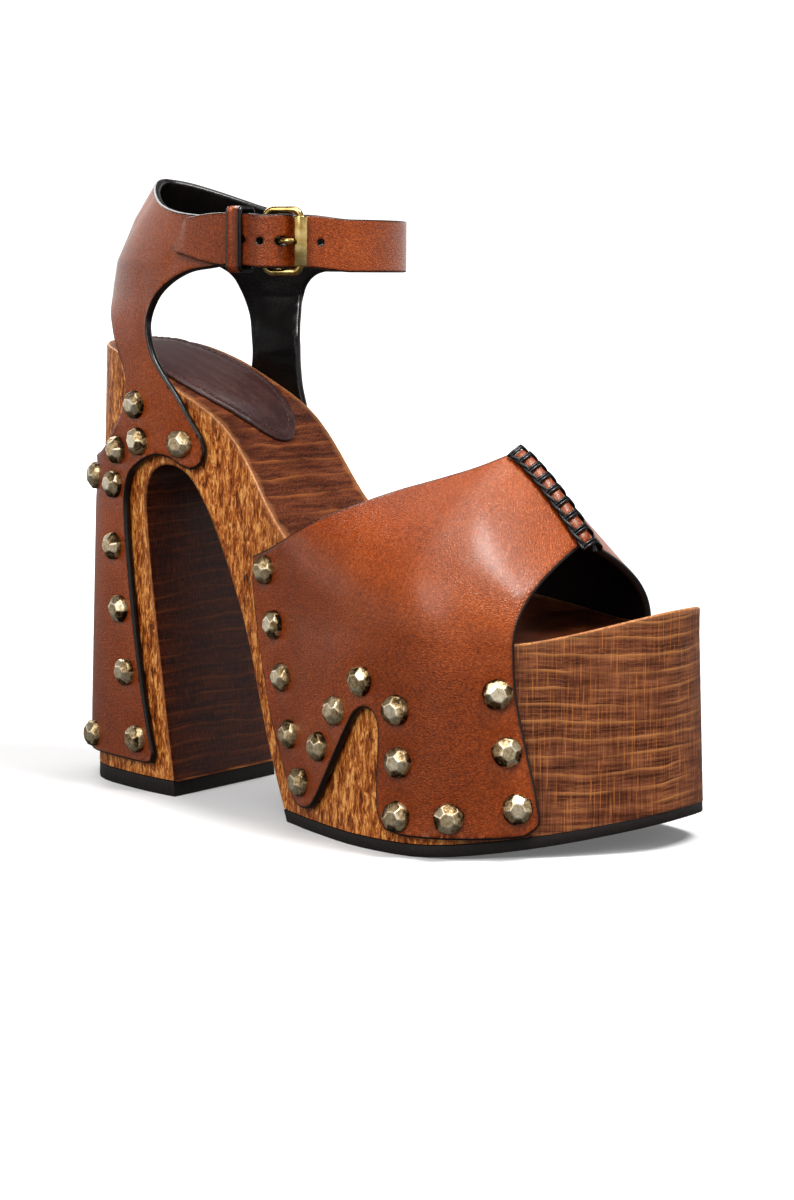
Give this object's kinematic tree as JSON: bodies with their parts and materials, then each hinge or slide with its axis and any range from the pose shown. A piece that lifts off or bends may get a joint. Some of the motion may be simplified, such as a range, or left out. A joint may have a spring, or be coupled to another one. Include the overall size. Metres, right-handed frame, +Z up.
{
  "type": "platform clog sandal",
  "caption": "Right platform clog sandal: carved wood sole with a block heel, peep-toe leather vamp and heel counter held by brass studs, and a buckled ankle strap.",
  "frame": {"origin": "on the floor, in the middle of the flat tread under the block heel", "axes": "+Z up; the toe points to -Y and the heel to +Y; -X is the outer side, with the buckle, and +X the inner side of the foot"},
  "size_m": [0.1071, 0.2287, 0.204],
  "materials": {
    "wood": "satin stain, grain level",
    "upper_leather": "smooth semi gloss",
    "tread_rubber": "matt",
    "sock_leather": "smooth satin",
    "buckle_brass": "polished",
    "stud_brass": "antiqued, hammered"
  },
  "bodies": {
    "root": {"wood_block": "wood", "platform_outsole": "tread_rubber", "heel_lift": "tread_rubber", "heel_sock": "sock_leather", "vamp": "upper_leather", "ridge_lacing": "upper_leather", "heel_counter": "upper_leather", "ankle_strap": "upper_leather", "strap_keeper": "upper_leather", "buckle_frame": "buckle_brass", "buckle_roller": "buckle_brass", "buckle_prong": "buckle_brass", "vamp_stud_outer_1": "stud_brass", "vamp_stud_outer_2": "stud_brass", "vamp_stud_outer_3": "stud_brass", "vamp_stud_outer_4": "stud_brass", "vamp_stud_outer_5": "stud_brass", "vamp_stud_outer_6": "stud_brass", "vamp_stud_outer_7": "stud_brass", "vamp_stud_outer_8": "stud_brass", "vamp_stud_outer_9": "stud_brass", "vamp_stud_outer_10": "stud_brass", "vamp_stud_outer_11": "stud_brass", "vamp_stud_outer_12": "stud_brass", "vamp_stud_outer_13": "stud_brass", "vamp_stud_outer_14": "stud_brass", "vamp_stud_outer_15": "stud_brass", "heel_stud_outer_1": "stud_brass", "heel_stud_outer_2": "stud_brass", "heel_stud_outer_3": "stud_brass", "heel_stud_outer_4": "stud_brass", "heel_stud_outer_5": "stud_brass", "heel_stud_outer_6": "stud_brass", "heel_stud_outer_7": "stud_brass", "heel_stud_outer_8": "stud_brass", "heel_stud_outer_9": "stud_brass", "heel_stud_outer_10": "stud_brass", "heel_stud_outer_11": "stud_brass", "vamp_stud_inner_1": "stud_brass", "vamp_stud_inner_2": "stud_brass", "vamp_stud_inner_3": "stud_brass", "vamp_stud_inner_4": "stud_brass", "vamp_stud_inner_5": "stud_brass", "vamp_stud_inner_10": "stud_brass", "vamp_stud_inner_11": "stud_brass", "vamp_stud_inner_12": "stud_brass", "vamp_stud_inner_13": "stud_brass", "vamp_stud_inner_14": "stud_brass", "vamp_stud_inner_15": "stud_brass", "heel_stud_inner_1": "stud_brass", "heel_stud_inner_2": "stud_brass", "heel_stud_inner_3": "stud_brass", "heel_stud_inner_4": "stud_brass", "heel_stud_inner_5": "stud_brass", "heel_stud_inner_6": "stud_brass", "heel_stud_inner_7": "stud_brass", "heel_stud_inner_8": "stud_brass", "heel_stud_inner_9": "stud_brass", "heel_stud_inner_10": "stud_brass", "heel_stud_inner_11": "stud_brass"}
  },
  "joints": []
}
